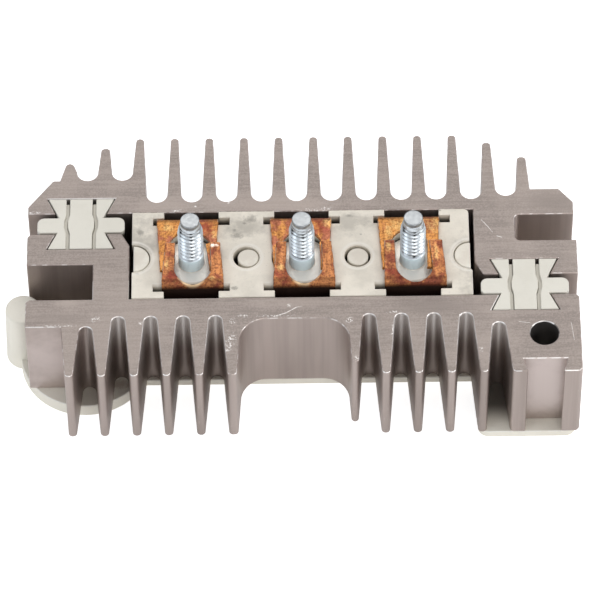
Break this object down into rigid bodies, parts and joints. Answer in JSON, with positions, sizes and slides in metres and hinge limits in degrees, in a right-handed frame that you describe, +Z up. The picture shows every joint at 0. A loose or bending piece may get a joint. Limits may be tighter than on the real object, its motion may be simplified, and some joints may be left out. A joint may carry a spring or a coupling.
{
  "type": "alternator rectifier",
  "caption": "Alternator diode bridge with sawn finned aluminium sinks, dovetail insulating keys, a terminal block, threaded studs and slotted copper straps.",
  "frame": {"origin": "foot of the mounting hole's axis, on the plane of the rear seats that the part rests on", "axes": "+X along the sinks towards the end with the battery slot and the mounting hole, +Y across them towards the positive sink, +Z up out of the sawn face along the studs"},
  "size_m": [0.1073, 0.0548, 0.0345],
  "materials": {
    "sink": "sawn, satin",
    "insulator": "moulded, matte",
    "key": "extruded, matte",
    "zinc": "bright zinc plate",
    "copper": "bare copper, tarnished",
    "cell": "moulded, matte"
  },
  "bodies": {
    "root": {"positive_heat_sink": "sink", "ground_heat_sink": "sink", "terminal_block": "insulator", "rear_plate": "insulator", "left_key_left_half": "key", "left_key_wedge": "key", "left_key_right_half": "key", "right_key_left_half": "key", "right_key_wedge": "key", "right_key_right_half": "key", "stator_stud_1": "zinc", "stator_stud_2": "zinc", "stator_stud_3": "zinc", "positive_strap_1": "copper", "ground_strap_1": "copper", "positive_strap_2": "copper", "ground_strap_2": "copper", "positive_strap_3": "copper", "ground_strap_3": "copper", "positive_diode_1": "cell", "ground_diode_1": "cell", "positive_diode_2": "cell", "ground_diode_2": "cell", "positive_diode_3": "cell", "ground_diode_3": "cell"}
  },
  "joints": []
}
